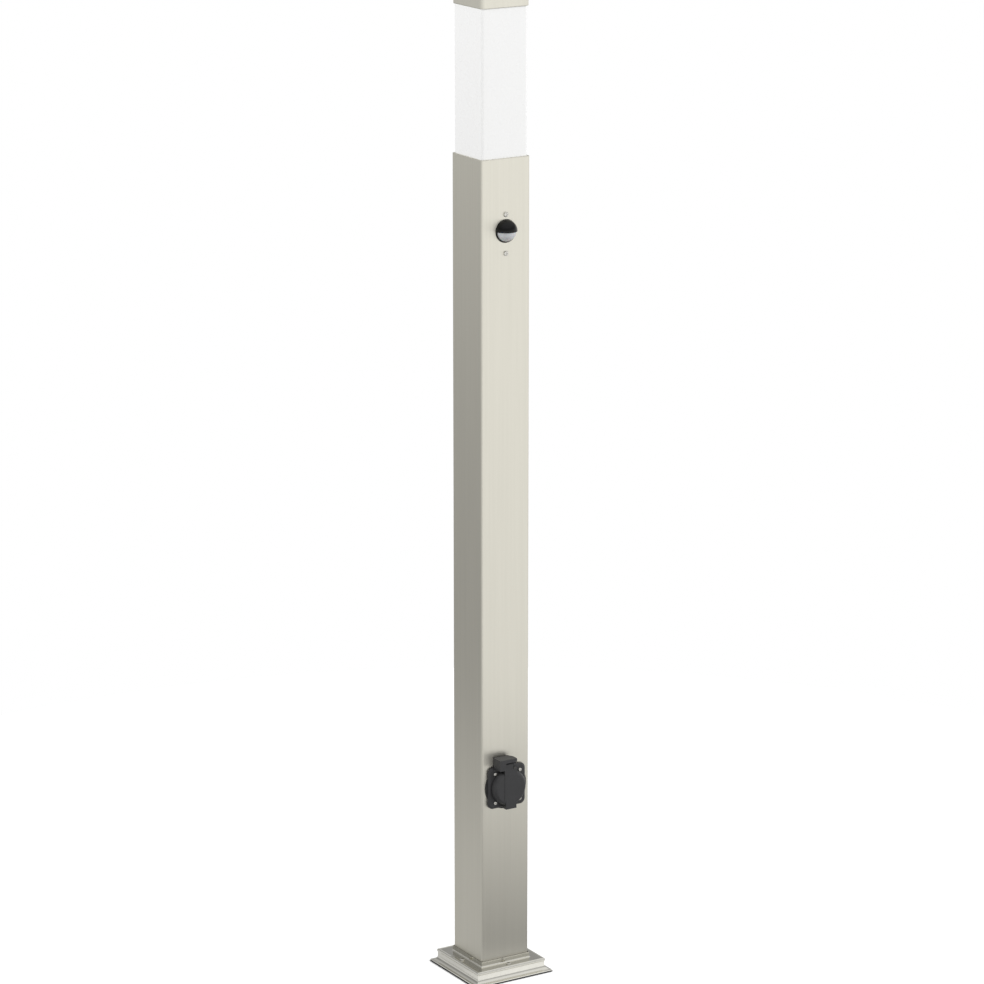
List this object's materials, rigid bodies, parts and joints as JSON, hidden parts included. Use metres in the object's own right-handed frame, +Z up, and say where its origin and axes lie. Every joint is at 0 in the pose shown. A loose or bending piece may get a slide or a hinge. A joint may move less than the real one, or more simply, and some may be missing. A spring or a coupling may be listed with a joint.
{
  "type": "garden light post with socket",
  "caption": "Square steel garden light post with an opal lamp head, a motion sensor, a hinged-lid mains socket near its foot and a screw-down base under a flared cover.",
  "frame": {"origin": "centre of the underside of the foot's rubber sheet", "axes": "+Z up the post, -Y is the front with the sensor and the socket, +X to the right seen from the front"},
  "size_m": [0.098, 0.098, 1.1],
  "materials": {
    "post_steel": "satin brushed stainless, warm grey",
    "cover_steel": "polished stainless",
    "plate_steel": "zinc-plated steel",
    "screw_steel": "bright stainless",
    "black_rubber": "matt",
    "socket_plastic": "fine moulded texture, dark grey",
    "insert_plastic": "moulded",
    "brass": "bare brass",
    "sensor_black": "gloss",
    "lens_white": "milky, smooth",
    "case_plastic": "moulded",
    "board": "laminate",
    "can_metal": "tinned can",
    "relay_plastic": "moulded",
    "knob_plastic": "moulded",
    "nylon": "natural nylon",
    "earth_sheath": "green-yellow sheath",
    "cable_sheath": "sheath",
    "holder_plastic": "heat-proof moulding",
    "bulb_metal": "rolled screw cap",
    "bulb_glass": "frosted",
    "opal": "opal, satin gloss"
  },
  "bodies": {
    "post": {"back_screws": "screw_steel", "base_cover": "cover_steel", "base_gasket": "black_rubber", "base_plate": "plate_steel", "block_screws": "screw_steel", "bracket_screws": "screw_steel", "bulb_cap": "bulb_metal", "bulb_globe": "bulb_glass", "cable_clips": "nylon", "cable_grommet": "black_rubber", "cap": "post_steel", "cap_screws": "screw_steel", "carrier_screws": "screw_steel", "contact_sleeves": "brass", "cover_posts": "plate_steel", "cover_screws": "screw_steel", "diffuser": "opal", "earth_clip": "brass", "earth_lead": "earth_sheath", "earth_lug": "brass", "earth_screw": "screw_steel", "foot_screws": "screw_steel", "foot_sleeve": "plate_steel", "hinge_pin": "screw_steel", "holder_contact": "brass", "holder_screws": "screw_steel", "holder_shell": "brass", "lamp_cable": "cable_sheath", "lamp_carrier": "plate_steel", "lamp_holder": "holder_plastic", "lid_spring": "screw_steel", "post_tube": "post_steel", "pyro_element": "can_metal", "sensor_back": "case_plastic", "sensor_board": "board", "sensor_cable": "cable_sheath", "sensor_case": "case_plastic", "sensor_hood": "sensor_black", "sensor_lens": "lens_white", "sensor_relay": "relay_plastic", "sensor_screws": "screw_steel", "socket_back": "socket_plastic", "socket_cable": "cable_sheath", "socket_gasket": "black_rubber", "socket_housing": "socket_plastic", "socket_insert": "insert_plastic", "socket_screws": "screw_steel", "terminal_block": "nylon", "terminal_bracket": "plate_steel", "terminal_screws": "screw_steel", "terminal_sleeves": "brass", "trimmers": "relay_plastic"},
    "lid": {"lid_seal": "black_rubber", "socket_lid": "socket_plastic"},
    "time_setting": {"time_knob": "knob_plastic"},
    "lux_setting": {"lux_knob": "knob_plastic"}
  },
  "joints": [
    {"name": "lid_hinge", "type": "hinge", "parent": "post", "child": "lid", "pos_m": [0, -0.0396, 0.2476], "axis": [-1, 0, 0], "range_deg": [0, 95], "stiffness_Nm_per_rad": 0.006, "springref_deg": -34.38},
    {"name": "time_turn", "type": "hinge", "parent": "post", "child": "time_setting", "pos_m": [-0.01, -0.0019, 0.82485], "axis": [0, 1, 0], "range_deg": [-135, 135]},
    {"name": "lux_turn", "type": "hinge", "parent": "post", "child": "lux_setting", "pos_m": [0.01, -0.0019, 0.82485], "axis": [0, 1, 0], "range_deg": [-135, 135]}
  ]
}
